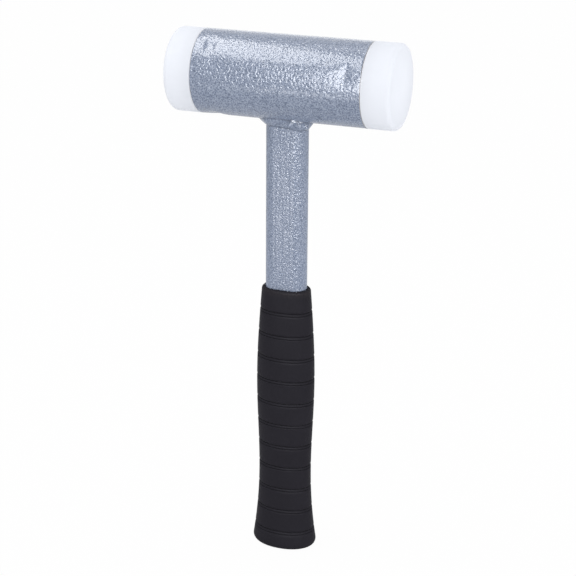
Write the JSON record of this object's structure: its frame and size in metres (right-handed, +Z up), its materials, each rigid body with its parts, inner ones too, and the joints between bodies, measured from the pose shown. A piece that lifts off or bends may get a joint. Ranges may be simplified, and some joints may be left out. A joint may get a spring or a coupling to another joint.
{
  "type": "dead blow hammer",
  "caption": "Recoilless soft-faced hammer: steel tube head with white nylon faces and a loose shot charge, welded flat-oval tube handle and ringed rubber grip.",
  "frame": {"origin": "centre of the grip's flat end, on which the hammer stands", "axes": "+Z up the handle towards the head, X along the head's axis, Y across the head"},
  "size_m": [0.1246, 0.045, 0.2975],
  "materials": {
    "hammertone_paint": "glossy blue-grey hammertone paint on steel",
    "nylon": "smooth white nylon, satin",
    "bare_steel": "bare steel",
    "grip_rubber": "matte black rubber"
  },
  "bodies": {
    "hammer": {"head_tube": "hammertone_paint", "left_face": "nylon", "right_face": "nylon", "left_disc": "bare_steel", "right_disc": "bare_steel", "handle_tube": "hammertone_paint", "weld_bead": "hammertone_paint", "grip": "grip_rubber"},
    "shot": {"steel_shot": "bare_steel"}
  },
  "joints": [
    {"name": "shot_slide", "type": "slide", "parent": "hammer", "child": "shot", "axis": [1, 0, 0], "range_m": [-0.008, 0.008]}
  ]
}
